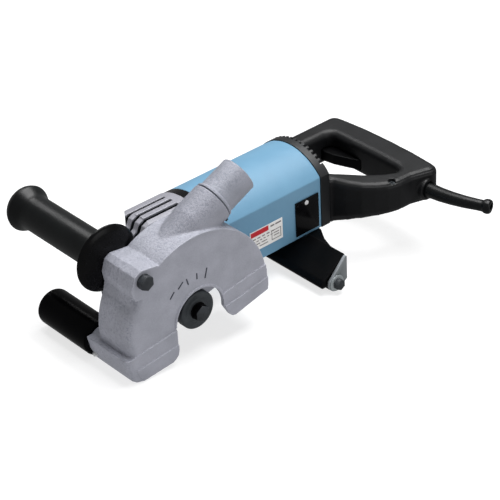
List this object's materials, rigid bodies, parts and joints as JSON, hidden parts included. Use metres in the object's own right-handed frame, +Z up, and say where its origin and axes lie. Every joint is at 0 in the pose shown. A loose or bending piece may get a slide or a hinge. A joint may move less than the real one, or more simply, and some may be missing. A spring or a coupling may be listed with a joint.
{
  "type": "wall chaser",
  "caption": "Hand-held wall chaser with a cast wheel guard and dust outlet, side grip, front and rear rollers, motor body and D handle.",
  "frame": {"origin": "on the spindle axis, at the middle of the wheel bay of the guard", "axes": "+X to the rear handle, -Y out of the open side of the guard along the spindle, +Z up with both rollers on a level surface"},
  "size_m": [0.4529, 0.2857, 0.187],
  "materials": {
    "guard_casting": "sand-cast aluminium, lightly blasted",
    "gear_casting": "die-cast aluminium, satin",
    "machined_aluminium": "turned aluminium",
    "housing_blue": "moulded glass-filled nylon, satin",
    "black_plastic": "moulded black nylon, fine texture",
    "cover_plastic": "moulded black plastic, smooth",
    "black_rubber": "soft black rubber",
    "black_steel": "blackened steel",
    "plate_steel": "grey painted steel plate",
    "bright_steel": "ground steel",
    "zinc_steel": "zinc plated steel",
    "core_steel": "varnished laminations",
    "copper": "enamelled copper",
    "bronze": "bronze",
    "carbon": "carbon brush",
    "mark_ink": "dark marking paint",
    "label_film": "printed plastic film, no lettering"
  },
  "bodies": {
    "machine": {"bearing_box": "gear_casting", "bearing_box_screws": "zinc_steel", "spindle_bearing": "bright_steel", "spindle_bush": "bronze", "gear_housing": "gear_casting", "gear_housing_screws": "zinc_steel", "baffle_ring": "black_plastic", "shaft_lock_spring": "bright_steel", "front_motor_bearing": "bright_steel", "rear_motor_bearing": "bright_steel", "motor_housing": "housing_blue", "field_core": "core_steel", "field_coils": "copper", "name_plate": "label_film", "brush_holders": "bronze", "carbon_brushes": "carbon", "brush_springs": "bright_steel", "brush_cover_near": "cover_plastic", "brush_cover_far": "cover_plastic", "brush_cover_screws": "zinc_steel", "rear_vent_ring": "black_plastic", "rear_bracket": "black_plastic", "rear_plate_near": "plate_steel", "rear_plate_far": "plate_steel", "rear_axle": "zinc_steel", "handle_upper": "black_plastic", "handle_lower": "black_plastic", "handle_screws": "zinc_steel", "switch_body": "black_plastic", "trigger_spring": "bright_steel", "cord_guard": "black_rubber", "cord_clamp": "black_plastic"},
    "guard_set": {"wheel_guard": "guard_casting", "scale_marks": "mark_ink", "dust_spout": "machined_aluminium", "spout_screws": "black_steel", "guard_clamp_bolt": "zinc_steel", "grip_bolt": "black_steel", "side_grip": "black_rubber", "hand_shield": "black_rubber", "roller_axle": "zinc_steel", "roller_screw": "zinc_steel"},
    "front_roller_set": {"front_roller": "black_plastic"},
    "rear_roller_set": {"rear_roller": "black_rubber"},
    "spindle_set": {"spindle": "bright_steel", "bevel_gear": "bright_steel", "inner_flange": "black_steel", "spacer_rings": "bright_steel", "outer_flange": "black_steel", "arbor_bolt": "black_steel", "gear_key": "bright_steel"},
    "armature_set": {"armature_shaft": "bright_steel", "armature_core": "core_steel", "armature_winding": "copper", "commutator": "copper", "cooling_fan": "black_plastic", "bevel_pinion": "bright_steel"},
    "shaft_lock_set": {"shaft_lock_pin": "black_plastic"},
    "trigger_set": {"trigger": "black_plastic"},
    "lock_button_set": {"lock_button": "black_plastic"}
  },
  "joints": [
    {"name": "depth_setting", "type": "hinge", "parent": "machine", "child": "guard_set", "pos_m": [0, 0, 0], "axis": [0, 1, 0], "range_deg": [-20, 12]},
    {"name": "spindle_spin", "type": "hinge", "parent": "machine", "child": "spindle_set", "pos_m": [0, 0, 0], "axis": [0, 1, 0], "continuous": true},
    {"name": "motor_spin", "type": "hinge", "parent": "machine", "child": "armature_set", "pos_m": [0.09981, 0.079, 0.0062], "axis": [0.9981, 0, 0.062], "continuous": true},
    {"name": "front_roller_spin", "type": "hinge", "parent": "guard_set", "child": "front_roller_set", "pos_m": [-0.07789, 0.08, -0.02838], "axis": [0, 1, 0], "continuous": true},
    {"name": "rear_roller_spin", "type": "hinge", "parent": "machine", "child": "rear_roller_set", "pos_m": [0.18371, 0.033, -0.03798], "axis": [0, 1, 0], "continuous": true},
    {"name": "shaft_lock_press", "type": "slide", "parent": "machine", "child": "shaft_lock_set", "axis": [0.9981, 0, 0.062], "range_m": [0, 0.004], "stiffness_N_per_m": 900, "springref_m": -0.002, "deforming": ["shaft_lock_spring"]},
    {"name": "trigger_pull", "type": "slide", "parent": "machine", "child": "trigger_set", "axis": [0.9981, 0, 0.062], "range_m": [0, 0.006], "stiffness_N_per_m": 900, "springref_m": -0.003, "deforming": ["trigger_spring"]},
    {"name": "lock_button_press", "type": "slide", "parent": "machine", "child": "lock_button_set", "axis": [-0.062, 0, 0.9981], "range_m": [0, 0.003], "stiffness_N_per_m": 700, "springref_m": -0.002}
  ],
  "couplings": [
    {"joint": "motor_spin", "follows": "spindle_spin", "ratio": 3.2727}
  ]
}
